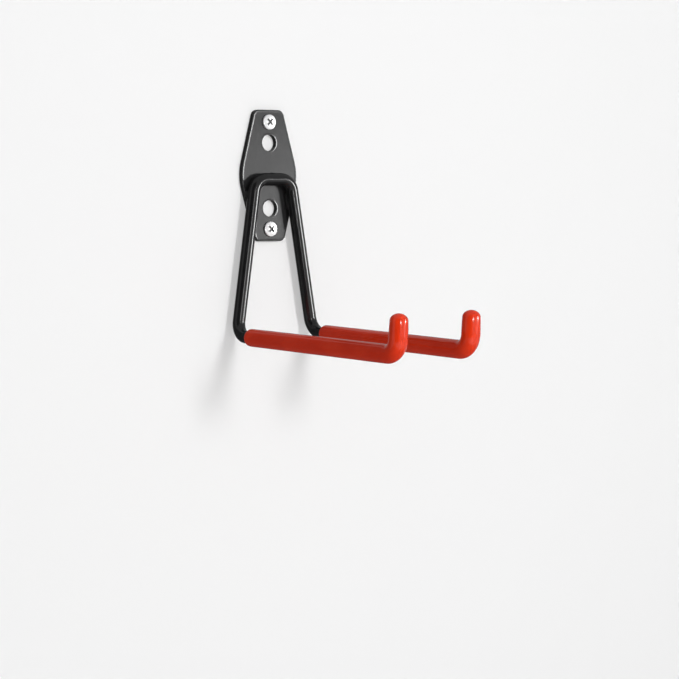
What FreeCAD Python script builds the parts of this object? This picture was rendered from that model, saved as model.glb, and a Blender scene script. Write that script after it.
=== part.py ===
import FreeCAD, Part
import math
import os

# Wall hook for long-handled tools: a steel plate, a bent double-pronged rod welded to its front,
# a soft vinyl sleeve on each prong, and the two screws that fix the plate to a wall.
# Frame: X to the right along the wall, Y into the wall, Z up, in millimetres and degrees.
# The origin is the centre of the plate's back face, which lies on the wall.

# Mounting plate: a long hexagon with rounded corners and a broken front edge
PLATE_HEIGHT = 75.0
PLATE_THICKNESS = 3.0
PLATE_END_WIDTH = 19.5
PLATE_WAIST_WIDTH = 40.0
PLATE_END_RADIUS = 4.0
PLATE_WAIST_RADIUS = 30.0
PLATE_FRONT_BREAK = 0.7
HOLE_EDGE_BREAK = 0.35

# Holes in the plate, on its upright centre line
SCREW_HOLE_D = 5.2
SCREW_HOLE_SPACING = 61.0
FREE_HOLE_D = 9.4
FREE_HOLE_SPACING = 37.4

# Hook rod: one round bar, bent at six corners
ROD_D = 7.2
ROD_TOP_DROP = 2.2
ROD_TOP_HALF_WIDTH = 12.0
LEG_SPLAY = 9.0
PRONG_DROP = 90.7
PRONG_LENGTH = 144.0
PRONG_DROOP = 1.5
TIP_HALF_WIDTH = 24.0
TIP_LEAN = 4.0
TIP_LENGTH = 19.0
TOP_BEND_RADIUS = 7.6
FOOT_BEND_RADIUS = 9.0
TIP_BEND_RADIUS = 9.0

# Vinyl sleeves: closed and rounded over the tip, open behind
SLEEVE_D = 10.1
SLEEVE_CAP = 2.0
SLEEVE_SETBACK = 13.0
SLEEVE_TIP_ROUND = 4.8
SLEEVE_LIP_BREAK = 0.9

# Weld beads in the wedge between a leg and the plate: distance down the leg from the top corner
BEAD_RADIUS = 1.3
BEAD_OFFSET = 2.7
BEAD_HEIGHT = 0.6
OUTER_BEAD_SPAN = (6.8, 12.0)
INNER_BEAD_SPAN = (7.5, 17.0)

# Screws: low round heads with a cross recess
SCREW_HEAD_D = 8.7
SCREW_RIM_HEIGHT = 1.0
SCREW_HEAD_HEIGHT = 1.7
SCREW_NECK_D = 3.4
SCREW_NECK_LENGTH = 3.6
SCREW_THREAD_D = 4.4
SCREW_LENGTH = 36.0
SCREW_POINT_LENGTH = 5.0
SCREW_POINT_D = 0.6
RECESS_WIDTH = 0.9
RECESS_LENGTH = 4.2
RECESS_FLOOR_LENGTH = 2.0
RECESS_DEPTH = 1.25
RECESS_ANGLES = (45.0, 135.0)

V = FreeCAD.Vector
WALL_SIDE = V(0, 1, 0)
PLATE_FRONT = -PLATE_THICKNESS
ROD_PLANE = PLATE_FRONT - ROD_D / 2
SIDES = (-1, 1)
CUT_MARGIN = 1.0
CLOSE = 0.01


def corner_arc(before, corner, after, radius):
    """Start, middle and end of the tangent arc that rounds one corner."""
    back = (before - corner).normalize()
    ahead = (after - corner).normalize()
    half_angle = back.getAngle(ahead) / 2
    reach = radius / math.tan(half_angle)
    inward = (back + ahead).normalize()
    middle = corner + inward * (radius / math.sin(half_angle) - radius)
    return corner + back * reach, middle, corner + ahead * reach


def rounded_edges(points, radii):
    """Straight runs through the points, with a tangent arc at each inner point."""
    edges = []
    start = points[0]
    for i, radius in enumerate(radii, 1):
        first, middle, last = corner_arc(points[i - 1], points[i], points[i + 1], radius)
        edges.append(Part.LineSegment(start, first).toShape())
        edges.append(Part.Arc(first, middle, last).toShape())
        start = last
    edges.append(Part.LineSegment(start, points[-1]).toShape())
    return edges


def round_bar(edges, diameter):
    """A round bar swept along the edges."""
    start = edges[0].valueAt(edges[0].FirstParameter)
    heading = edges[0].tangentAt(edges[0].FirstParameter)
    section = Part.Wire(Part.makeCircle(diameter / 2, start, heading))
    return Part.Wire(edges).makePipeShell([section], True, False)


def edges_near(solid, point):
    """The edges whose centre of mass is at the point."""
    return [edge for edge in solid.Edges if edge.CenterOfMass.distanceToPoint(point) < CLOSE]


def leg_direction(side):
    """Down along one leg."""
    splay = math.radians(LEG_SPLAY)
    return V(side * math.sin(splay), 0, -math.cos(splay))


def top_corner(side):
    """Where a leg's axis would meet the axis of the rod's flat top."""
    return V(side * ROD_TOP_HALF_WIDTH, ROD_PLANE, -ROD_TOP_DROP)


def foot_corner(side):
    """Where a leg's axis would meet its prong's axis."""
    run = (PRONG_DROP - ROD_TOP_DROP) / math.cos(math.radians(LEG_SPLAY))
    return top_corner(side) + leg_direction(side) * run


def tip_corner(side):
    """Where a prong's axis would meet the axis of its upturned tip."""
    drop = PRONG_DROP + PRONG_LENGTH * math.tan(math.radians(PRONG_DROOP))
    return V(side * TIP_HALF_WIDTH, ROD_PLANE - PRONG_LENGTH, -drop)


def tip_end(side, length):
    """A point up the upturned tip's axis."""
    lean = math.radians(TIP_LEAN)
    return tip_corner(side) + V(0, -math.sin(lean), math.cos(lean)) * length


def plate_outline():
    """The plate's outline on the wall plane, from the middle of its top edge round to the same point."""
    top = PLATE_HEIGHT / 2
    end = PLATE_END_WIDTH / 2
    waist = PLATE_WAIST_WIDTH / 2
    corners = [(end, top), (waist, 0), (end, -top), (-end, -top), (-waist, 0), (-end, top)]
    middle = V(0, 0, top)
    points = [middle] + [V(x, 0, z) for x, z in corners] + [middle]
    radii = [PLATE_END_RADIUS, PLATE_WAIST_RADIUS, PLATE_END_RADIUS] * 2
    return Part.Wire(rounded_edges(points, radii))


def drill(diameter, height):
    """A straight drill through the plate."""
    start = V(0, PLATE_FRONT - CUT_MARGIN, height)
    return Part.makeCylinder(diameter / 2, PLATE_THICKNESS + 2 * CUT_MARGIN, start, WALL_SIDE)


def on_plane(edge, level):
    """True for an edge that lies flat at one distance from the wall."""
    return abs(edge.BoundBox.YMin - level) < CLOSE and abs(edge.BoundBox.YMax - level) < CLOSE


def mounting_plate():
    blank = Part.Face(plate_outline()).extrude(V(0, PLATE_FRONT, 0))
    blank = blank.makeChamfer(PLATE_FRONT_BREAK, [e for e in blank.Edges if on_plane(e, PLATE_FRONT)])
    for diameter, spacing in ((SCREW_HOLE_D, SCREW_HOLE_SPACING), (FREE_HOLE_D, FREE_HOLE_SPACING)):
        for height in (spacing / 2, -spacing / 2):
            blank = blank.cut(drill(diameter, height))
            blank = blank.makeChamfer(HOLE_EDGE_BREAK, edges_near(blank, V(0, PLATE_FRONT, height)))
    return blank


def hook_rod():
    left = [tip_end(-1, TIP_LENGTH), tip_corner(-1), foot_corner(-1), top_corner(-1)]
    right = [top_corner(1), foot_corner(1), tip_corner(1), tip_end(1, TIP_LENGTH)]
    half_radii = [TIP_BEND_RADIUS, FOOT_BEND_RADIUS, TOP_BEND_RADIUS]
    return round_bar(rounded_edges(left + right, half_radii + half_radii[::-1]), ROD_D)


def prong_sleeve(side, rod):
    """A dipped sleeve along a prong and over its tip, hollow where the rod runs in it."""
    back = (tip_corner(side) - foot_corner(side)).normalize() * SLEEVE_SETBACK + foot_corner(side)
    top = tip_end(side, TIP_LENGTH + SLEEVE_CAP)
    sleeve = round_bar(rounded_edges([back, tip_corner(side), top], [TIP_BEND_RADIUS]), SLEEVE_D)
    sleeve = sleeve.makeFillet(SLEEVE_TIP_ROUND, edges_near(sleeve, top))
    sleeve = sleeve.makeChamfer(SLEEVE_LIP_BREAK, edges_near(sleeve, back))
    return sleeve.cut(rod)


def weld_bead(side, across, span, rod):
    """One bead beside a leg: it lies on the plate and takes the rod's round side."""
    down = leg_direction(side)
    outward = V(math.cos(math.radians(LEG_SPLAY)), 0, side * math.sin(math.radians(LEG_SPLAY)))
    contact = top_corner(side)
    contact.y = PLATE_FRONT - BEAD_HEIGHT
    start = contact + outward * (across * BEAD_OFFSET) + down * span[0]
    bead = Part.makeCylinder(BEAD_RADIUS, span[1] - span[0], start, down)
    behind = Part.makeBox(PLATE_HEIGHT, PLATE_THICKNESS, PLATE_HEIGHT)
    behind.translate(V(-PLATE_HEIGHT / 2, PLATE_FRONT, -PLATE_HEIGHT / 2))
    return bead.cut(rod.fuse(behind))


def weld_beads(rod):
    beads = []
    for side in SIDES:
        beads.append(weld_bead(side, side, OUTER_BEAD_SPAN, rod))
        beads.append(weld_bead(side, -side, INNER_BEAD_SPAN, rod))
    return Part.makeCompound([solid for bead in beads for solid in bead.Solids])


def recess_arm(angle):
    """One tapered slot of the cross recess, about a head that stands on the wall plane."""
    top = -SCREW_HEAD_HEIGHT - CUT_MARGIN
    floor = RECESS_DEPTH - SCREW_HEAD_HEIGHT
    slope = (RECESS_LENGTH - RECESS_FLOOR_LENGTH) / 2 / RECESS_DEPTH
    floor_half = RECESS_FLOOR_LENGTH / 2
    top_half = floor_half + slope * (floor - top)
    corners = [(-top_half, top), (top_half, top), (floor_half, floor), (-floor_half, floor)]
    points = [V(x, y, -RECESS_WIDTH / 2) for x, y in corners]
    arm = Part.Face(Part.makePolygon(points + points[:1])).extrude(V(0, 0, RECESS_WIDTH))
    arm.rotate(V(0, 0, 0), WALL_SIDE, angle)
    return arm


def screw():
    """One screw along Y, with the underside of its head on the wall plane."""
    head_radius = SCREW_HEAD_D / 2
    crown_rise = SCREW_HEAD_HEIGHT - SCREW_RIM_HEIGHT
    crown_radius = (head_radius ** 2 + crown_rise ** 2) / (2 * crown_rise)
    head = Part.makeCylinder(head_radius, SCREW_HEAD_HEIGHT, V(0, -SCREW_HEAD_HEIGHT, 0), WALL_SIDE)
    head = head.common(Part.makeSphere(crown_radius, V(0, crown_radius - SCREW_HEAD_HEIGHT, 0)))
    thread_end = SCREW_LENGTH - SCREW_POINT_LENGTH
    thread_start = V(0, SCREW_NECK_LENGTH, 0)
    neck = Part.makeCylinder(SCREW_NECK_D / 2, SCREW_NECK_LENGTH, V(0, 0, 0), WALL_SIDE)
    thread = Part.makeCylinder(SCREW_THREAD_D / 2, thread_end - SCREW_NECK_LENGTH, thread_start, WALL_SIDE)
    point_start = V(0, thread_end, 0)
    point = Part.makeCone(SCREW_THREAD_D / 2, SCREW_POINT_D / 2, SCREW_POINT_LENGTH, point_start, WALL_SIDE)
    body = head.fuse([neck, thread, point])
    for angle in RECESS_ANGLES:
        body = body.cut(recess_arm(angle))
    return body


def mounting_screws():
    screws = []
    for height in (SCREW_HOLE_SPACING / 2, -SCREW_HOLE_SPACING / 2):
        placed = screw()
        placed.translate(V(0, PLATE_FRONT, height))
        screws.extend(placed.Solids)
    return Part.makeCompound(screws)


rod_solid = hook_rod()
nodes = {
    "mounting_plate": mounting_plate(),
    "hook_rod": rod_solid,
    "weld_beads": weld_beads(rod_solid),
    "left_prong_sleeve": prong_sleeve(-1, rod_solid),
    "right_prong_sleeve": prong_sleeve(1, rod_solid),
    "mounting_screws": mounting_screws(),
}

os.makedirs("parts", exist_ok=True)
for name, shape in nodes.items():
    print(name, "solids", len(shape.Solids), "valid", shape.isValid(), "volume", round(shape.Volume, 1))
    shape.exportStep(f"parts/{name}.step")
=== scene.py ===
import math

import bmesh
import bpy
from mathutils import Matrix, Vector, noise


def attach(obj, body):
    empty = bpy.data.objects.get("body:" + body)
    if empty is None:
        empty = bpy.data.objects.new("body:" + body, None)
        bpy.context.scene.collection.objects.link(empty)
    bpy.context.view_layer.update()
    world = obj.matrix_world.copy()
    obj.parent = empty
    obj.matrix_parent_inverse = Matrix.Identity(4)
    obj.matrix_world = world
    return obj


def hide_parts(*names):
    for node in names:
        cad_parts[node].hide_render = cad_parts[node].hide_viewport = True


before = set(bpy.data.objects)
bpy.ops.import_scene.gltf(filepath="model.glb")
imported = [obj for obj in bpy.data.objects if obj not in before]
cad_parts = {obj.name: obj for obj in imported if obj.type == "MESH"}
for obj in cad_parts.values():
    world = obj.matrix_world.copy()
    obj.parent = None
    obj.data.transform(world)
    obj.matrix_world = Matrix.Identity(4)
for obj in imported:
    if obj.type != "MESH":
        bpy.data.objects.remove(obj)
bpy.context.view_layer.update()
MM = 0.001
SIDES = {"left": -1, "right": 1}

# Mounting plate, in millimetres
PLATE_HEIGHT = 75.0
PLATE_THICKNESS = 3.0
PLATE_FRONT = -PLATE_THICKNESS
PLATE_END_WIDTH = 19.5
PLATE_WAIST_WIDTH = 40.0
PLATE_END_RADIUS = 4.0
PLATE_WAIST_RADIUS = 30.0
PLATE_FRONT_ROUND = 0.45
PLATE_BACK_ROUND = 0.25
HOLE_ROUND = 0.25
RIM_HEIGHT = 0.06
RIM_WIDTH = 1.1
HOLE_RIM_HEIGHT = 0.045
HOLE_RIM_WIDTH = 0.7
SCREW_HOLE_D = 5.2
SCREW_SPACING = 61.0
FREE_HOLE_D = 9.4
FREE_SPACING = 37.4
WEAR_FADE = 3  # the wear on an edge ends at one part in this of the rim's width
EVEN_WEIGHT = 100  # how far large faces lead in the shading of their corners; 50 is neutral
CORNER_STEPS = 12
HOLE_STEPS = 48
EDGE_STEPS = 5

# Rod, in millimetres
ROD_D = 7.2
ROD_PLANE = PLATE_FRONT - ROD_D / 2
ROD_TOP_DROP = 2.2
ROD_TOP_HALF_WIDTH = 12.0
LEG_SPLAY = math.radians(9.0)
PRONG_DROP = 90.7
PRONG_LENGTH = 144.0
PRONG_DROOP = math.radians(1.5)
TIP_HALF_WIDTH = 24.0
TIP_LEAN = math.radians(4.0)
TIP_LENGTH = 19.0
TIP_BEND_RADIUS = 9.0

# Sleeves, in millimetres
SLEEVE_D = 10.1
SLEEVE_CAP = 2.4
SLEEVE_SETBACK = 13.0
SLEEVE_DOME = 3.6
SLEEVE_TAPER = 0.1
SLEEVE_TAPER_LENGTH = 12.0
LIP_LENGTH = 1.6
LIP_RADIUS = 3.8
LAST_RING = 0.3
DIP_DEPTH = 0.035
DIP_SCALE = 1 / 16
SLEEVE_RING = 64
LIP_STEPS = 6
DOME_STEPS = 16
RUN_STEP = 1.5
ARC_STEP = math.radians(5)
BEND_MARGIN = 1.0
TIP_STEP = 0.35
BORE_RUN_STEP = 12.0
BORE_ARC_STEP = math.radians(8)

# Weld seams, in millimetres; a span runs down a leg, on its outer side (1) or its inner side (-1)
BEAD_RADIUS = 1.3
BEAD_OFFSET = 2.7
BEAD_HEIGHT = 0.6
BEAD_SPANS = {1: (6.8, 12.0), -1: (7.5, 17.0)}
BEAD_BLUNTNESS = 1.25
RIPPLE_PITCH = 0.95
RIPPLE_DEPTH = 0.11
RIPPLE_BOW = 0.12
RIPPLE_STEPS = 8
BEAD_RING = 24
TACK_LENGTH = 2.2
TACK_RADIUS = 1.3
TACK_SHIFT = 1.8
TACK_STEPS = 12

# Screws, in millimetres; a recess has the length and width of an arm at its mouth and at its floor
HEAD_RADIUS = 4.35
HEAD_HEIGHT = 1.7
CROWN_RADIUS = 13.87
CROWN_EDGE = 4.05
SHOULDER_DROP = 0.4
HEAD_EASE, HEAD_EASE_MIDDLE = 0.2, 0.06
NECK_RADIUS = 1.7
NECK_LENGTH = 3.6
NECK_FILLET, NECK_FILLET_MIDDLE = 0.3, 0.08
NECK_RUN_OUT = 0.4
ROOT_RADIUS = 1.55
THREAD_RADIUS = 2.2
THREAD_PITCH = 1.8
THREAD_END = 31.0
RIDGE_HALF_WIDTH = 0.3  # as a share of the pitch
SCREW_LENGTH = 36.0
POINT_RADIUS = 0.12
RECESS_DEPTH = 1.4
RECESS_ARM = (5.0, 1.3)
RECESS_FLOOR = (2.4, 0.9)
RECESS_ANGLES = (45, 135)
CUT_MARGIN = 0.5
ARM_MARGIN = 0.3
CROWN_MARGIN = 0.03
HEAD_MARGIN = 0.1
SHARP_ANGLE = math.radians(35)
SLIVER = 0.001 * MM
SCREW_RING = 40
CROWN_STEPS = 9
SHOULDER_STEPS = 4
THREAD_ROWS = 10

# Finishes: linear colours from dark to light, bump heights, and grains as (features a metre, detail)
WHOLE = (0.0, 1.0)
USUAL_NOISE = (0.35, 0.65)
EDGE_LAYER = "edge"
UNBENT_LAYER = "unbent"
PLATE_TONES = ((0.017, 0.017, 0.0175), (0.022, 0.022, 0.0225))
PLATE_ROUGHNESS = (0.13, 0.17)
PLATE_PEEL = 0.005 * MM
ROD_TONES = ((0.008, 0.008, 0.0085), (0.012, 0.012, 0.0125))
ROD_ROUGHNESS = (0.14, 0.18)
ROD_PEEL = 0.003 * MM
WELD_ROUGHNESS = (0.4, 0.5)
WELD_PEEL = 0.01 * MM
WORN_COAT = (0.06, 0.06, 0.06)
WEAR_GRAIN, WEAR_RANGE = (420, 4), (0.45, 0.7)
COAT_CLOUDS, COAT_GLOSS, COAT_PEEL = (90, 4), (260, 3), (1500, 2)
VINYL_TONES = ((0.75, 0.033, 0.006), (0.83, 0.043, 0.009))
VINYL_ROUGHNESS = (0.03, 0.06)
VINYL_BUMP = 0.006 * MM
VINYL_CLOUDS, VINYL_RUNS, VINYL_PEEL = (60, 3), (700, 3), (260, 3)
RUN_STRETCH = 0.08  # the runs' features a metre along the sleeve, as a share of those round it
ZINC_METALLIC = 0.6
ZINC_TONES = ((0.86, 0.86, 0.87), (0.95, 0.95, 0.95))
ZINC_ROUGHNESS = (0.3, 0.42)
# Painted shade: the cross recess takes darker zinc tones than the head, standing in for the shade inside it
RECESS_SHADE_TONES = ((0.2, 0.2, 0.2), (0.3, 0.3, 0.3))
RECESS_ROUGHNESS = (0.5, 0.65)
ZINC_BUMP = 0.004 * MM
ZINC_CLOUDS, ZINC_GLOSS, ZINC_GRAIN = (700, 4), (900, 3), (2500, 2)

# Stage, in metres
WALL_GAP = 0.0004
FLOOR_LEVEL = -0.55
STAGE_REACH = 15.0
STAGE_ROUGHNESS = 0.9
STAGE_SPECULAR = 0.1
WALL_GREY, WALL_GLOW = 0.59, 0.35
FLOOR_GREY, FLOOR_GLOW = 0.8, 0.076
WORLD_GREY = 0.38

# Lamps aim at the lit point: name, azimuth, elevation, distance, size and radiance, in degrees and metres
LIT_POINT = Vector((0, -0.04, -0.04))
SOFTBOXES = (
    ("key", 4, 12, 1.3, (0.2, 0.2), 62.0),
    ("fill", -5, 15, 1.8, (2.4, 2.0), 0.42),
)
CARDS = (
    ("front_card", -13, 3, 2.4, (0.34, 0.65), 5.0),
    ("front_spark", -13, -4.4, 2.4, (0.4, 0.06), 34.0),
    ("front_glow", -2, 3, 2.5, (1.5, 1.5), 0.35),
    ("side_card", 48, 3, 2.4, (0.5, 0.67), 24.0),
    ("side_spark", 48, -4.6, 2.4, (0.5, 0.06), 24.0),
    ("side_glow", 36, -3.5, 2.5, (0.7, 0.7), 2.0),
)

# Flags, in degrees and metres
FLAG_DISTANCE = 1.4
FLAG_HALF_WIDTH = 0.75
FLAG_LEVELS = (-0.5, 1.6)
SIDE_FLAG_AZIMUTH = -52
BACK_FLAG_AZIMUTH = -143
LOW_FLAG_LEVEL = -0.5
LOW_FLAG_LEFT, LOW_FLAG_RIGHT = -1.2, 0.6
LOW_FLAG_FRONT, LOW_FLAG_BACK = -0.5, 2.5
DARK_GREY = 0.01
MIDDLE_GREY = 0.2

# Camera, in millimetres and degrees
CAMERA_PLACE = Vector((-622.69, -911.093, -25.774)) * MM
CAMERA_AZIMUTH = -36.47
CAMERA_ELEVATION = 3.57
CAMERA_ROLL = math.radians(-0.64)
FOCAL_PIXELS = 1915.86
IMAGE_PIXELS = 679
SENSOR = 36.0


# Paths

def rounded_corner(before, corner, after, radius):
    """The arc that rounds a corner: where it starts and ends, its centre, and the angle that it turns."""
    back = (before - corner).normalized()
    ahead = (after - corner).normalized()
    half = back.angle(ahead) / 2
    reach = radius / math.tan(half)
    centre = corner + (back + ahead).normalized() * (radius / math.sin(half))
    return corner + back * reach, corner + ahead * reach, centre, math.pi - 2 * half


def add_run(path, end, step):
    """Adds evenly spaced points from the last point of a path to an end."""
    start = path[-1]
    steps = max(1, math.ceil((end - start).length / step))
    for k in range(1, steps + 1):
        path.append(start.lerp(end, k / steps))


def bent_path(first, corner, last, radius, run_step, arc_step):
    """Points along two straight runs that are joined by a tangent arc."""
    start, end, centre, turn = rounded_corner(first, corner, last, radius)
    path = [first.copy()]
    add_run(path, start, run_step)
    spoke = start - centre
    axis = spoke.cross(end - centre).normalized()
    steps = math.ceil(turn / arc_step)
    for k in range(1, steps + 1):
        path.append(centre + Matrix.Rotation(turn * k / steps, 3, axis) @ spoke)
    add_run(path, last, run_step)
    return path


def tangents(path):
    """The direction of a path at each of its points."""
    ahead = [(b - a).normalized() for a, b in zip(path, path[1:])]
    inner = [(a + b).normalized() for a, b in zip(ahead, ahead[1:])]
    return [ahead[0]] + inner + [ahead[-1]]


def leg_down(side):
    """The direction of a leg of the rod, from its top to its foot."""
    return Vector((side * math.sin(LEG_SPLAY), 0, -math.cos(LEG_SPLAY)))


def top_corner(side):
    """The corner of the rod's centre line between its top and a leg."""
    return Vector((side * ROD_TOP_HALF_WIDTH, ROD_PLANE, -ROD_TOP_DROP))


def foot_corner(side):
    """The corner between a leg and its prong."""
    return top_corner(side) + leg_down(side) * ((PRONG_DROP - ROD_TOP_DROP) / math.cos(LEG_SPLAY))


def tip_corner(side):
    """The corner between a prong and its tip."""
    drop = PRONG_DROP + PRONG_LENGTH * math.tan(PRONG_DROOP)
    return Vector((side * TIP_HALF_WIDTH, ROD_PLANE - PRONG_LENGTH, -drop))


def tip_end(side, length):
    """The point at a length up a tip from its corner."""
    return tip_corner(side) + Vector((0, -math.sin(TIP_LEAN), math.cos(TIP_LEAN))) * length


# Meshes

def ring(bm, centre, tangent, across, section, count):
    """A closed ring of vertices round one point of a path; the section gives its radius by angle."""
    other = tangent.cross(across).normalized()
    verts = []
    for k in range(count):
        angle = 2 * math.pi * k / count
        spoke = math.cos(angle) * across + math.sin(angle) * other
        verts.append(bm.verts.new((centre + spoke * section(angle)) * MM))
    return verts


def round_section(radius):
    """A section with one radius all round."""
    return lambda angle: radius


def skin(bm, rings):
    """Faces between neighbouring rings."""
    for low, high in zip(rings, rings[1:]):
        for i in range(len(low)):
            j = (i + 1) % len(low)
            bm.faces.new((low[i], low[j], high[j], high[i]))


def closed_skin(bm, rings):
    """Faces between neighbouring rings, and one across each end."""
    skin(bm, rings)
    bm.faces.new(rings[0])
    bm.faces.new(rings[-1])


def new_object(name, bm):
    """A linked object with a finished mesh, whose faces all look outward."""
    bmesh.ops.recalc_face_normals(bm, faces=bm.faces)
    mesh = bpy.data.meshes.new(name)
    bm.to_mesh(mesh)
    bm.free()
    made = bpy.data.objects.new(name, mesh)
    bpy.context.scene.collection.objects.link(made)
    return made


def add_piece(name, bm, material, replaced):
    """A closed mesh piece in the part's frame, riding on the one body in place of CAD nodes."""
    piece = new_object(name, bm)
    piece.data.shade_smooth()
    piece.data.materials.append(material)
    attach(piece, "root")
    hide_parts(*replaced)
    return piece


# Materials

def new_material(name):
    """A material with its node tree and its shader."""
    material = bpy.data.materials.new(name)
    material.use_nodes = True
    tree = material.node_tree
    return material, tree, tree.nodes["Principled BSDF"]


def grey(level):
    """An opaque grey."""
    return (level, level, level, 1)


def add_node(tree, kind, **values):
    """A node with the given inputs and settings."""
    node = tree.nodes.new(kind)
    for key, value in values.items():
        if key in node.inputs:
            node.inputs[key].default_value = value
        else:
            setattr(node, key, value)
    return node


def noise_value(tree, grain, place=None):
    """Noise of a grain over a place, which is the object's own coordinates unless it is given."""
    if place is None:
        place = add_node(tree, "ShaderNodeTexCoord").outputs["Object"]
    scale, detail = grain
    texture = add_node(tree, "ShaderNodeTexNoise", Scale=scale, Detail=detail)
    tree.links.new(place, texture.inputs["Vector"])
    return texture.outputs["Fac"]


def spread(tree, source, target, source_range=USUAL_NOISE):
    """Maps a value from the range that it lies in to a target range."""
    node = add_node(tree, "ShaderNodeMapRange")
    tree.links.new(source, node.inputs["Value"])
    for key, value in zip(("From Min", "From Max", "To Min", "To Max"), (*source_range, *target)):
        node.inputs[key].default_value = value
    return node.outputs["Result"]


def blend_colours(tree, factor, first, second):
    """A colour between two; the first may be another node's output."""
    node = add_node(tree, "ShaderNodeMix", data_type="RGBA")
    tree.links.new(factor, node.inputs["Factor"])
    low, high = (socket for socket in node.inputs if socket.type == "RGBA")
    if isinstance(first, tuple):
        low.default_value = (*first, 1)
    else:
        tree.links.new(first, low)
    high.default_value = (*second, 1)
    return next(socket for socket in node.outputs if socket.type == "RGBA")


def cloudy_colour(tree, grain, tones):
    """A colour that drifts between two tones."""
    return blend_colours(tree, spread(tree, noise_value(tree, grain), WHOLE), *tones)


def uneven_gloss(tree, shader, value, roughness):
    """Lets a noise value set the roughness within its range."""
    tree.links.new(spread(tree, value, roughness), shader.inputs["Roughness"])


def combine(tree, operation, first, second):
    """The sum or product of two values."""
    node = add_node(tree, "ShaderNodeMath", operation=operation)
    tree.links.new(first, node.inputs[0])
    tree.links.new(second, node.inputs[1])
    return node.outputs["Value"]


def bump(tree, shader, height, distance):
    """Raises the surface's shading by a height value, up to a distance."""
    node = add_node(tree, "ShaderNodeBump", Distance=distance)
    tree.links.new(height, node.inputs["Height"])
    tree.links.new(node.outputs["Normal"], shader.inputs["Normal"])


def coat_material(name, tones, roughness, peel):
    """Powder coat: fine orange peel, faint cloudiness, uneven gloss, and paler patches along the edges."""
    material, tree, shader = new_material(name)
    colour = cloudy_colour(tree, COAT_CLOUDS, tones)
    edge = add_node(tree, "ShaderNodeAttribute", attribute_name=EDGE_LAYER)
    patches = spread(tree, noise_value(tree, WEAR_GRAIN), WHOLE, WEAR_RANGE)
    wear = combine(tree, "MULTIPLY", edge.outputs["Fac"], patches)
    tree.links.new(blend_colours(tree, wear, colour, WORN_COAT), shader.inputs["Base Color"])
    uneven_gloss(tree, shader, noise_value(tree, COAT_GLOSS), roughness)
    bump(tree, shader, noise_value(tree, COAT_PEEL), peel)
    return material


def vinyl_material():
    """Glossy dipped vinyl: soft thick colour, faint runs along the sleeve and a slight orange peel."""
    material, tree, shader = new_material("sleeve_vinyl")
    tree.links.new(cloudy_colour(tree, VINYL_CLOUDS, VINYL_TONES), shader.inputs["Base Color"])
    place = add_node(tree, "ShaderNodeAttribute", attribute_name=UNBENT_LAYER)
    drawn = add_node(tree, "ShaderNodeMapping", Scale=(1, 1, RUN_STRETCH))
    tree.links.new(place.outputs["Vector"], drawn.inputs["Vector"])
    runs = noise_value(tree, VINYL_RUNS, drawn.outputs["Vector"])
    uneven_gloss(tree, shader, runs, VINYL_ROUGHNESS)
    bump(tree, shader, combine(tree, "ADD", runs, noise_value(tree, VINYL_PEEL)), VINYL_BUMP)
    return material


def zinc_material(name, tones, roughness):
    """Zinc plating, slightly cloudy, with the pale haze of its passivation."""
    material, tree, shader = new_material(name)
    shader.inputs["Metallic"].default_value = ZINC_METALLIC
    tree.links.new(cloudy_colour(tree, ZINC_CLOUDS, tones), shader.inputs["Base Color"])
    uneven_gloss(tree, shader, noise_value(tree, ZINC_GLOSS), roughness)
    bump(tree, shader, noise_value(tree, ZINC_GRAIN), ZINC_BUMP)
    return material


PLATE_COAT = coat_material("plate_coat", PLATE_TONES, PLATE_ROUGHNESS, PLATE_PEEL)
ROD_COAT = coat_material("rod_coat", ROD_TONES, ROD_ROUGHNESS, ROD_PEEL)
WELD_COAT = coat_material("weld_coat", ROD_TONES, WELD_ROUGHNESS, WELD_PEEL)
VINYL = vinyl_material()
ZINC = zinc_material("screw_zinc", ZINC_TONES, ZINC_ROUGHNESS)
# Painted shade for the screws' cross recess: the same zinc in darker tones
RECESS_SHADE_ZINC = zinc_material("recess_painted_shade", RECESS_SHADE_TONES, RECESS_ROUGHNESS)


# Rod: the CAD node itself

rod_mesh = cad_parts["hook_rod"].data
rod_mesh.materials.clear()
rod_mesh.materials.append(ROD_COAT)


# Mounting plate

def corner_arc(before, corner, after, radius):
    """Points and outward normals along the arc that rounds one corner of an outline."""
    start, end, centre, _ = rounded_corner(before, corner, after, radius)
    first = start - centre
    turn = first.angle_signed(end - centre)
    arc = []
    for k in range(CORNER_STEPS + 1):
        spoke = Matrix.Rotation(-turn * k / CORNER_STEPS, 2) @ first
        arc.append((centre + spoke, spoke.normalized()))
    return arc


def plate_outline():
    """Points and outward normals round the plate, seen from the front."""
    top, end, waist = PLATE_HEIGHT / 2, PLATE_END_WIDTH / 2, PLATE_WAIST_WIDTH / 2
    right = [Vector((end, top)), Vector((waist, 0)), Vector((end, -top))]
    corners = right + [-corner for corner in right]
    radii = (PLATE_END_RADIUS, PLATE_WAIST_RADIUS, PLATE_END_RADIUS) * 2
    outline = []
    for i, radius in enumerate(radii):
        after = corners[(i + 1) % len(corners)]
        outline += corner_arc(corners[i - 1], corners[i], after, radius)
    return outline


def hole_outline(diameter, height):
    """Points round a hole, with normals that leave the metal."""
    outline = []
    for k in range(HOLE_STEPS):
        angle = 2 * math.pi * k / HOLE_STEPS
        spoke = Vector((math.cos(angle), math.sin(angle)))
        outline.append((Vector((0, height)) + spoke * diameter / 2, -spoke))
    return outline


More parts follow.
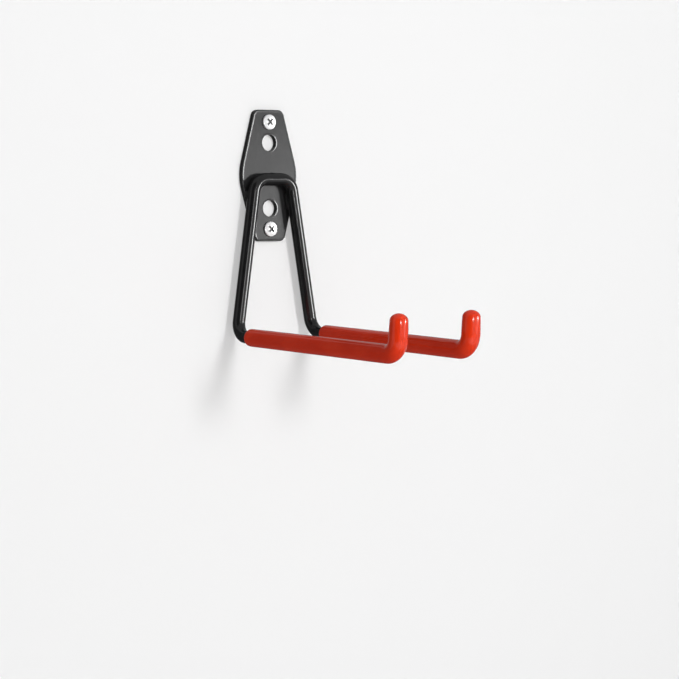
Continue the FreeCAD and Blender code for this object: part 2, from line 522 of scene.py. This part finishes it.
def edge_profile(front_round, rim_height, rim_width):
    """(inset, depth, wear) from the back face to the front: rounded edges, and a rim of thicker coat."""
    quarter = [math.pi / 2 * k / EDGE_STEPS for k in range(EDGE_STEPS + 1)]
    profile = []
    for t in quarter:
        profile.append((PLATE_BACK_ROUND * (1 - math.sin(t)), PLATE_BACK_ROUND * (math.cos(t) - 1), 0.0))
    crest = PLATE_FRONT - rim_height
    for t in quarter:
        depth = crest + front_round * (1 - math.sin(t))
        profile.append((front_round * (1 - math.cos(t)), depth, math.sin(t) ** 2))
    for k in range(1, EDGE_STEPS + 1):
        share = k / EDGE_STEPS
        fall = 0.5 - 0.5 * math.cos(math.pi * share)
        wear = max(0.0, 1 - WEAR_FADE * share)
        profile.append((front_round + rim_width * share, crest + rim_height * fall, wear))
    return profile


def plate_loops():
    """The plate's outline and its holes, each with the profile of its edge."""
    screw_edge = edge_profile(HOLE_ROUND, 0.0, HOLE_RIM_WIDTH)
    free_edge = edge_profile(HOLE_ROUND, HOLE_RIM_HEIGHT, HOLE_RIM_WIDTH)
    holes = ((SCREW_HOLE_D, SCREW_SPACING, screw_edge), (FREE_HOLE_D, FREE_SPACING, free_edge))
    loops = [(plate_outline(), edge_profile(PLATE_FRONT_ROUND, RIM_HEIGHT, RIM_WIDTH))]
    for diameter, spacing, edge in holes:
        loops += [(hole_outline(diameter, end * spacing / 2), edge) for end in (1, -1)]
    return loops


def plate_piece():
    """The stamped plate, with its outer edge and hole rims rounded as the coat leaves them."""
    bm = bmesh.new()
    worn = bm.verts.layers.float.new(EDGE_LAYER)
    back_edges, front_edges = [], []
    for outline, edge in plate_loops():
        rings = []
        for inset, depth, wear in edge:
            places = [point - normal * inset for point, normal in outline]
            rings.append([bm.verts.new(Vector((p.x, depth, p.y)) * MM) for p in places])
            for vert in rings[-1]:
                vert[worn] = wear
        skin(bm, rings)
        for edges, border in ((back_edges, rings[0]), (front_edges, rings[-1])):
            edges += [bm.edges.get(pair) for pair in zip(border, border[1:] + border[:1])]
    for edges in (back_edges, front_edges):
        bmesh.ops.triangle_fill(bm, use_beauty=True, edges=edges)
    piece = add_piece("plate", bm, PLATE_COAT, ["mounting_plate"])
    even = piece.modifiers.new("even_shading", "WEIGHTED_NORMAL")
    even.mode = "FACE_AREA"
    even.weight = EVEN_WEIGHT


plate_piece()


# Sleeves

def lip_shape(length):
    """A sleeve's radius at a length from its open end: a rounded lip, then the full section."""
    share = min(1.0, length / LIP_LENGTH)
    return LIP_RADIUS + (SLEEVE_D / 2 - LIP_RADIUS) * math.sqrt(1 - (1 - share) ** 2)


def tip_shape(below):
    """A sleeve's radius at a distance below its apex: a slight taper that ends in a flattened dome."""
    taper = 1 - SLEEVE_TAPER * max(0.0, 1 - below / SLEEVE_TAPER_LENGTH) ** 2
    dome = math.sqrt(1 - max(0.0, 1 - below / SLEEVE_DOME) ** 2)
    return SLEEVE_D / 2 * taper * dome


def dip(place):
    """How far the dipped skin lies below its full thickness at a place."""
    return DIP_DEPTH * (0.5 + 0.5 * noise.noise(place * DIP_SCALE))


def uneven_section(place, tangent, across, size):
    """The radius of the uneven skin round one place, by angle."""
    other = tangent.cross(across).normalized()

    def radius(angle):
        spoke = math.cos(angle) * across + math.sin(angle) * other
        return size - dip(place + spoke * size) * size / SLEEVE_D * 2
    return radius


def sleeve_stations(back, corner, apex):
    """Places and directions along a sleeve's outside, from its open end to its apex."""
    upward = (apex - corner).normalized()
    dome_base = apex - upward * SLEEVE_DOME
    bend_end = corner + upward * (TIP_BEND_RADIUS + BEND_MARGIN)
    path = bent_path(back, corner, bend_end, TIP_BEND_RADIUS, RUN_STEP, ARC_STEP)
    add_run(path, dome_base, TIP_STEP)
    heading = (path[1] - back).normalized()
    lip = [LIP_LENGTH * (1 - math.cos(math.pi / 2 * k / LIP_STEPS)) for k in range(LIP_STEPS)]
    stations = [(back + heading * length, heading) for length in lip]
    stations += [(p, t) for p, t in zip(path, tangents(path)) if (p - back).length > LIP_LENGTH]
    rises = [SLEEVE_DOME * math.sin(math.pi / 2 * k / DOME_STEPS) for k in range(1, DOME_STEPS + 1)]
    return stations + [(dome_base + upward * rise, upward) for rise in rises]


def sleeve_rings(bm, back, corner, apex, across):
    """The rings of a sleeve's outside. Each vertex notes where it would lie if the sleeve were straight."""
    unbent = bm.verts.layers.float_vector.new(UNBENT_LAYER)
    upward = (apex - corner).normalized()
    full = SLEEVE_D / 2
    rings = []
    length = 0.0
    last = back
    for place, tangent in sleeve_stations(back, corner, apex):
        length += (place - last).length
        last = place
        size = lip_shape(length)
        if (place - corner).dot(upward) > TIP_BEND_RADIUS:
            size = max(LAST_RING, tip_shape((apex - place).dot(upward)))
        section = uneven_section(place, tangent, across, size)
        rings.append(ring(bm, place, tangent, across, section, SLEEVE_RING))
        for k, vert in enumerate(rings[-1]):
            angle = 2 * math.pi * k / SLEEVE_RING
            vert[unbent] = Vector((full * math.cos(angle), full * math.sin(angle), length)) * MM
    return rings


def sleeve_piece(name, side):
    """A dipped sleeve: rounded lip, slightly uneven skin, domed tip, and a bore for the rod."""
    foot, corner = foot_corner(side), tip_corner(side)
    back = foot + (corner - foot).normalized() * SLEEVE_SETBACK
    apex = tip_end(side, TIP_LENGTH + SLEEVE_CAP)
    across = (corner - foot).cross((apex - corner).normalized()).normalized()
    bm = bmesh.new()
    rings = sleeve_rings(bm, back, corner, apex, across)
    skin(bm, rings)
    bm.faces.new(rings[-1])
    rod_end = tip_end(side, TIP_LENGTH)
    path = bent_path(back, corner, rod_end, TIP_BEND_RADIUS, BORE_RUN_STEP, BORE_ARC_STEP)
    section = round_section(ROD_D / 2)
    bore = [ring(bm, p, t, across, section, SLEEVE_RING) for p, t in zip(path, tangents(path))]
    skin(bm, [rings[0]] + bore)
    bm.faces.new(bore[-1])
    add_piece(name, bm, VINYL, [name + "_sleeve"])


for name, side in SIDES.items():
    sleeve_piece(name + "_prong", side)


# Weld seams

def bead_section(ripples, fullness):
    """The radius of a bead by angle, that many ripples from its start; the ripples bow along the bead."""
    def radius(angle):
        wave = math.cos(2 * math.pi * (ripples + RIPPLE_BOW * math.cos(2 * angle)))
        return BEAD_RADIUS * fullness * (1 - RIPPLE_DEPTH * (0.5 + 0.5 * wave))
    return radius


def weld_seam(bm, side, outer):
    """One rippled bead in the wedge between a leg and the plate."""
    down = leg_down(side)
    outward = Vector((math.cos(LEG_SPLAY), 0, side * math.sin(LEG_SPLAY)))
    contact = top_corner(side)
    contact.y = PLATE_FRONT - BEAD_HEIGHT
    contact += outward * (side * outer * BEAD_OFFSET)
    first, last = BEAD_SPANS[outer]
    length = last - first
    steps = round(length / RIPPLE_PITCH) * RIPPLE_STEPS
    rings = []
    for k in range(1, steps):
        share = k / steps
        fullness = min(1.0, BEAD_BLUNTNESS * math.sqrt(math.sin(math.pi * share)))
        section = bead_section(share * length / RIPPLE_PITCH, fullness)
        place = contact + down * (first + length * share)
        rings.append(ring(bm, place, down, outward, section, BEAD_RING))
    closed_skin(bm, rings)


def tack(bm):
    """The small tack weld on top of the rod, near the plate's centre line."""
    axis, upward = Vector((1, 0, 0)), Vector((0, 0, 1))
    centre = Vector((TACK_SHIFT, PLATE_FRONT - BEAD_HEIGHT, BEAD_OFFSET - ROD_TOP_DROP))
    rings = []
    for k in range(1, TACK_STEPS):
        share = math.cos(math.pi * k / TACK_STEPS)
        section = round_section(TACK_RADIUS * math.sqrt(1 - share ** 2))
        place = centre + axis * (share * TACK_LENGTH / 2)
        rings.append(ring(bm, place, axis, upward, section, BEAD_RING))
    closed_skin(bm, rings)


seams = bmesh.new()
tack(seams)
for side in SIDES.values():
    for outer in BEAD_SPANS:
        weld_seam(seams, side, outer)
add_piece("weld_seams", seams, WELD_COAT, ["weld_beads"])


# Screws

def crown_depth(radius):
    """The depth of a head's domed crown at a radius."""
    return CROWN_RADIUS - math.sqrt(CROWN_RADIUS ** 2 - radius ** 2) - HEAD_HEIGHT


def head_profile():
    """(radius, depth) from the crown to the neck."""
    profile = []
    for k in range(1, CROWN_STEPS + 1):
        radius = CROWN_EDGE * k / CROWN_STEPS
        profile.append((radius, crown_depth(radius)))
    shoulder = profile[-1][1]
    rim = HEAD_RADIUS - CROWN_EDGE
    for k in range(1, SHOULDER_STEPS + 1):
        t = math.pi / 2 * k / SHOULDER_STEPS
        profile.append((CROWN_EDGE + rim * math.sin(t), shoulder + SHOULDER_DROP * (1 - math.cos(t))))
    profile += [
        (HEAD_RADIUS, -HEAD_EASE),
        (HEAD_RADIUS - HEAD_EASE_MIDDLE, -HEAD_EASE_MIDDLE),
        (HEAD_RADIUS - HEAD_EASE, 0.0),
        (NECK_RADIUS + NECK_FILLET, 0.0),
        (NECK_RADIUS + NECK_FILLET_MIDDLE, NECK_FILLET_MIDDLE),
        (NECK_RADIUS, NECK_FILLET),
        (NECK_RADIUS, NECK_LENGTH - NECK_RUN_OUT),
    ]
    return profile


def thread_section(depth):
    """The thread's radius by angle at a depth: a sharp ridge on a straight root, running out at both ends."""
    taper = min(1.0, max(0.0, (SCREW_LENGTH - depth) / (SCREW_LENGTH - THREAD_END)))
    lead_in = min(1.0, max(0.0, (depth - NECK_LENGTH) / THREAD_PITCH))
    root = POINT_RADIUS + (ROOT_RADIUS - POINT_RADIUS) * taper
    crest = POINT_RADIUS + (THREAD_RADIUS - POINT_RADIUS) * taper

    def radius(angle):
        phase = (depth / THREAD_PITCH - angle / (2 * math.pi)) % 1.0
        ridge = max(0.0, 1 - abs(phase - 0.5) / RIDGE_HALF_WIDTH)
        return root + (crest - root) * ridge * lead_in
    return radius


def screw_blank():
    """One screw without its recess, about its own axis, with the underside of its head at depth 0."""
    sections = [(depth, round_section(radius)) for radius, depth in head_profile()]
    threaded = SCREW_LENGTH - NECK_LENGTH
    rows = round(threaded / THREAD_PITCH * THREAD_ROWS)
    for k in range(rows + 1):
        depth = NECK_LENGTH + threaded * k / rows
        sections.append((depth, thread_section(depth)))
    axis, across = Vector((0, 1, 0)), Vector((1, 0, 0))
    bm = bmesh.new()
    rings = [ring(bm, axis * depth, axis, across, section, SCREW_RING) for depth, section in sections]
    skin(bm, rings)
    crown = bm.verts.new(axis * -HEAD_HEIGHT * MM)
    for i in range(SCREW_RING):
        bm.faces.new((crown, rings[0][i], rings[0][(i + 1) % SCREW_RING]))
    bm.faces.new(rings[-1])
    return new_object("screw_blank", bm)


def arm_cutter(name, angle):
    """One tapered arm of the cross recess, as a cutter that stands out of the crown."""
    top, floor = -HEAD_HEIGHT - CUT_MARGIN, RECESS_DEPTH - HEAD_HEIGHT
    bm = bmesh.new()
    levels = []
    for depth, share in ((top, 1 + CUT_MARGIN / RECESS_DEPTH), (floor, 0.0)):
        length, width = (low + (high - low) * share for low, high in zip(RECESS_FLOOR, RECESS_ARM))
        corners = [(-length, -width), (length, -width), (length, width), (-length, width)]
        levels.append([bm.verts.new(Vector((x / 2, depth, z / 2)) * MM) for x, z in corners])
    closed_skin(bm, levels)
    bm.transform(Matrix.Rotation(math.radians(angle), 4, "Y"))
    return new_object(name, bm)


def screw_mesh():
    """One screw with its recess cut."""
    blank = screw_blank()
    cutters = [arm_cutter(f"recess_{angle}", angle) for angle in RECESS_ANGLES]
    for cutter in cutters:
        cut = blank.modifiers.new(cutter.name, "BOOLEAN")
        cut.operation = "DIFFERENCE"
        cut.object = cutter
    bpy.context.view_layer.update()
    shape = blank.evaluated_get(bpy.context.evaluated_depsgraph_get())
    mesh = bpy.data.meshes.new_from_object(shape)
    for scratch in [blank, *cutters]:
        bpy.data.objects.remove(scratch)
    return mesh


def in_recess(face):
    """True for a face of a screw that lies in its cross recess."""
    middle = face.calc_center_median() / MM
    reach = math.hypot(middle.x, middle.z)
    below_crown = crown_depth(reach) + CROWN_MARGIN < middle.y
    return reach < RECESS_ARM[0] / 2 + ARM_MARGIN and below_crown and middle.y < -HEAD_MARGIN


def screw_piece(name, height, mesh):
    """One screw in place, with painted shade in its recess: darker, duller zinc on the recess's faces."""
    bm = bmesh.new()
    bm.from_mesh(mesh)
    bmesh.ops.dissolve_degenerate(bm, dist=SLIVER, edges=bm.edges)
    for face in bm.faces:
        # Faces in the recess take the darker zinc, which paints the shade that falls in the recess
        face.material_index = 1 if in_recess(face) else 0
    bm.transform(Matrix.Translation(Vector((0, PLATE_FRONT, height)) * MM))
    piece = add_piece(name, bm, ZINC, ["mounting_screws"])
    piece.data.materials.append(RECESS_SHADE_ZINC)
    piece.data.set_sharp_from_angle(angle=SHARP_ANGLE)


screw_shape = screw_mesh()
screw_piece("upper_screw", SCREW_SPACING / 2, screw_shape)
screw_piece("lower_screw", -SCREW_SPACING / 2, screw_shape)


# Stage

def stage_paint(name, level, glow):
    """A plain grey surface that is seen from its front only. Its glow is seen, and lights nothing."""
    material, tree, shader = new_material(name)
    shader.inputs["Emission Color"].default_value = grey(1)
    shader.inputs["Base Color"].default_value = grey(level)
    shader.inputs["Roughness"].default_value = STAGE_ROUGHNESS
    shader.inputs["Specular IOR Level"].default_value = STAGE_SPECULAR
    ray = add_node(tree, "ShaderNodeLightPath")
    mirrored = combine(tree, "ADD", ray.outputs["Is Glossy Ray"], ray.outputs["Is Transmission Ray"])
    seen = combine(tree, "ADD", ray.outputs["Is Camera Ray"], mirrored)
    tree.links.new(spread(tree, seen, (0.0, glow), WHOLE), shader.inputs["Emission Strength"])
    side = add_node(tree, "ShaderNodeNewGeometry")
    clear = add_node(tree, "ShaderNodeBsdfTransparent")
    mix = add_node(tree, "ShaderNodeMixShader")
    tree.links.new(side.outputs["Backfacing"], mix.inputs["Fac"])
    tree.links.new(shader.outputs["BSDF"], mix.inputs[1])
    tree.links.new(clear.outputs["BSDF"], mix.inputs[2])
    tree.links.new(mix.outputs["Shader"], tree.nodes["Material Output"].inputs["Surface"])
    return material


def flag_cloth(name, level):
    """A dull grey cloth."""
    material, _, shader = new_material(name)
    shader.inputs["Base Color"].default_value = grey(level)
    shader.inputs["Roughness"].default_value = 1.0
    return material


def stage_sheet(name, corners, material):
    """A flat sheet that belongs to the stage."""
    mesh = bpy.data.meshes.new(name)
    mesh.from_pydata(corners, [], [(0, 1, 2, 3)])
    mesh.materials.append(material)
    sheet = bpy.data.objects.new(name, mesh)
    bpy.context.scene.collection.objects.link(sheet)
    return sheet


def level_corners(left, right, front, back, height):
    """The corners of a level sheet, in an order that makes its upper side the front."""
    return [(left, front, height), (right, front, height), (right, back, height), (left, back, height)]


def backdrop():
    """The upright sheet behind the hook, which neither lights it nor shows in it."""
    low, high = FLOOR_LEVEL, STAGE_REACH
    left, right = -STAGE_REACH, STAGE_REACH
    corners = [(x, WALL_GAP, z) for x, z in ((left, low), (right, low), (right, high), (left, high))]
    sheet = stage_sheet("wall", corners, stage_paint("wall_paint", WALL_GREY, WALL_GLOW))
    sheet.visible_diffuse = False
    sheet.visible_glossy = False
    sheet.visible_shadow = False


def studio_world():
    """An even grey all round."""
    world = bpy.data.worlds.new("studio")
    world.use_nodes = True
    world.node_tree.nodes["Background"].inputs["Color"].default_value = grey(WORLD_GREY)
    bpy.context.scene.world = world


backdrop()
floor_corners = level_corners(-STAGE_REACH, STAGE_REACH, -STAGE_REACH, STAGE_REACH, FLOOR_LEVEL)
stage_sheet("floor", floor_corners, stage_paint("floor_paint", FLOOR_GREY, FLOOR_GLOW))
studio_world()


# Light

def direction(azimuth, elevation):
    """The way out from the hook, in degrees to the right of the plate's front and above the horizon."""
    a, e = math.radians(azimuth), math.radians(elevation)
    return Vector((math.sin(a) * math.cos(e), -math.cos(a) * math.cos(e), math.sin(e)))


def rightward(azimuth):
    """The level direction that points right when the hook is seen from an azimuth."""
    a = math.radians(azimuth)
    return Vector((math.cos(a), math.sin(a), 0))


def lamp(name, azimuth, elevation, distance, size, radiance, gloss_only):
    """A soft lamp. A gloss_only lamp is a card that shows in reflections; the others never show there."""
    width, height = size
    back = direction(azimuth, elevation)
    light = bpy.data.lights.new(name, "AREA")
    light.shape = "RECTANGLE"
    light.size, light.size_y = width, height
    light.energy = radiance * math.pi * width * height
    holder = bpy.data.objects.new(name, light)
    holder.location = LIT_POINT + back * distance
    holder.rotation_mode = "QUATERNION"
    holder.rotation_quaternion = (-back).to_track_quat("-Z", "Y")
    holder.visible_diffuse = not gloss_only
    holder.visible_glossy = gloss_only
    bpy.context.scene.collection.objects.link(holder)


def flag(name, corners, cloth):
    """A dark or grey sheet that shows only in reflections, so that gloss keeps its contrast."""
    sheet = stage_sheet(name, corners, cloth)
    sheet.visible_camera = False
    sheet.visible_diffuse = False
    sheet.visible_shadow = False


def upright_corners(azimuth):
    """The corners of an upright flag that faces the lit point from an azimuth."""
    centre = LIT_POINT + FLAG_DISTANCE * direction(azimuth, 0)
    half = FLAG_HALF_WIDTH * rightward(azimuth)
    low, high = (Vector((0, 0, height)) for height in FLAG_LEVELS)
    return [centre - half + low, centre + half + low, centre + half + high, centre - half + high]


for softbox in SOFTBOXES:
    lamp(*softbox, gloss_only=False)
for card in CARDS:
    lamp(*card, gloss_only=True)
GREY_CLOTH = flag_cloth("grey_cloth", MIDDLE_GREY)
flag("side_flag", upright_corners(SIDE_FLAG_AZIMUTH), flag_cloth("dark_cloth", DARK_GREY))
flag("back_flag", upright_corners(BACK_FLAG_AZIMUTH), GREY_CLOTH)
low_flag_corners = level_corners(LOW_FLAG_LEFT, LOW_FLAG_RIGHT, LOW_FLAG_FRONT, LOW_FLAG_BACK, LOW_FLAG_LEVEL)
flag("low_flag", low_flag_corners, GREY_CLOTH)


# Camera

def photo_camera():
    """The camera at the photograph's viewing angle."""
    back = direction(CAMERA_AZIMUTH, CAMERA_ELEVATION)
    level = rightward(CAMERA_AZIMUTH)
    upright = back.cross(level)
    right = math.cos(CAMERA_ROLL) * level + math.sin(CAMERA_ROLL) * upright
    up = math.cos(CAMERA_ROLL) * upright - math.sin(CAMERA_ROLL) * level
    data = bpy.data.cameras.new("camera")
    data.sensor_width = SENSOR
    data.lens = FOCAL_PIXELS / IMAGE_PIXELS * SENSOR
    camera = bpy.data.objects.new("camera", data)
    camera.matrix_world = Matrix.Translation(CAMERA_PLACE) @ Matrix((right, up, back)).transposed().to_4x4()
    bpy.context.scene.collection.objects.link(camera)
    bpy.context.scene.camera = camera


photo_camera()
bpy.context.scene.view_settings.view_transform = "Standard"

bpy.context.view_layer.update()
